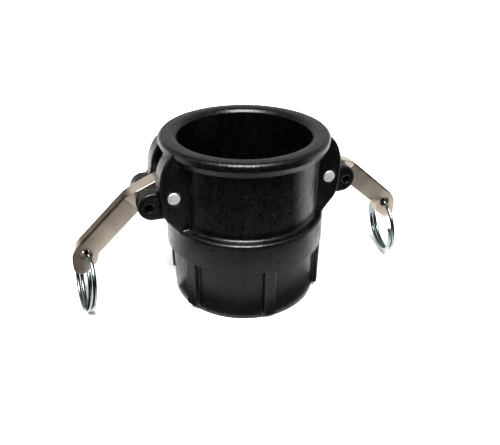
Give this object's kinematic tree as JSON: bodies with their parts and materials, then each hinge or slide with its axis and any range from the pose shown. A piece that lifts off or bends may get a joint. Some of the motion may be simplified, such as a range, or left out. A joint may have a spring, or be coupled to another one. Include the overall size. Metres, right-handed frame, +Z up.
{
  "type": "camlock coupling",
  "caption": "Moulded black camlock coupler with a round socket, two steel cam levers with split finger rings, and a ribbed hub with a female pipe thread.",
  "frame": {"origin": "centre of the threaded end's flat face, which the coupler stands on; the levers rest at slightly different angles, so the box's centre lies 1 mm or less to one side of it", "axes": "+Z up the bore from the threaded end to the mouth, +X through the right-hand pair of ears to the right-hand lever, Y along the hinge pins"},
  "size_m": [0.177, 0.082, 0.0843],
  "materials": {
    "body_plastic": "moulded glass-filled polypropylene, black, satin",
    "gasket_rubber": "moulded nitrile, matt",
    "lever_steel": "satin stainless, warm grey",
    "pin_steel": "bright stainless with a dull end face",
    "ring_wire": "bright zinc plating"
  },
  "bodies": {
    "coupler": {"coupler_body": "body_plastic", "gasket": "gasket_rubber", "hinge_pin_left": "pin_steel", "hinge_pin_right": "pin_steel"},
    "lever_left": {"cam_lever_left": "lever_steel"},
    "lever_right": {"cam_lever_right": "lever_steel"},
    "ring_left": {"finger_ring_left": "ring_wire"},
    "ring_right": {"finger_ring_right": "ring_wire"}
  },
  "joints": [
    {"name": "lever_left_swing", "type": "hinge", "parent": "coupler", "child": "lever_left", "pos_m": [-0.0389, 0, 0.0613], "axis": [0, -1, 0], "range_deg": [-73.4, 39.1]},
    {"name": "lever_right_swing", "type": "hinge", "parent": "coupler", "child": "lever_right", "pos_m": [0.0389, 0, 0.0613], "axis": [0, 1, 0], "range_deg": [-70.8, 41.7]},
    {"name": "ring_left_swing", "type": "hinge", "parent": "lever_left", "child": "ring_left", "pos_m": [-0.08039, 0, 0.03225], "axis": [0, -1, 0], "range_deg": [-180, 0]},
    {"name": "ring_right_swing", "type": "hinge", "parent": "lever_right", "child": "ring_right", "pos_m": [0.08166, 0, 0.03417], "axis": [0, 1, 0], "range_deg": [-180, 0]}
  ]
}
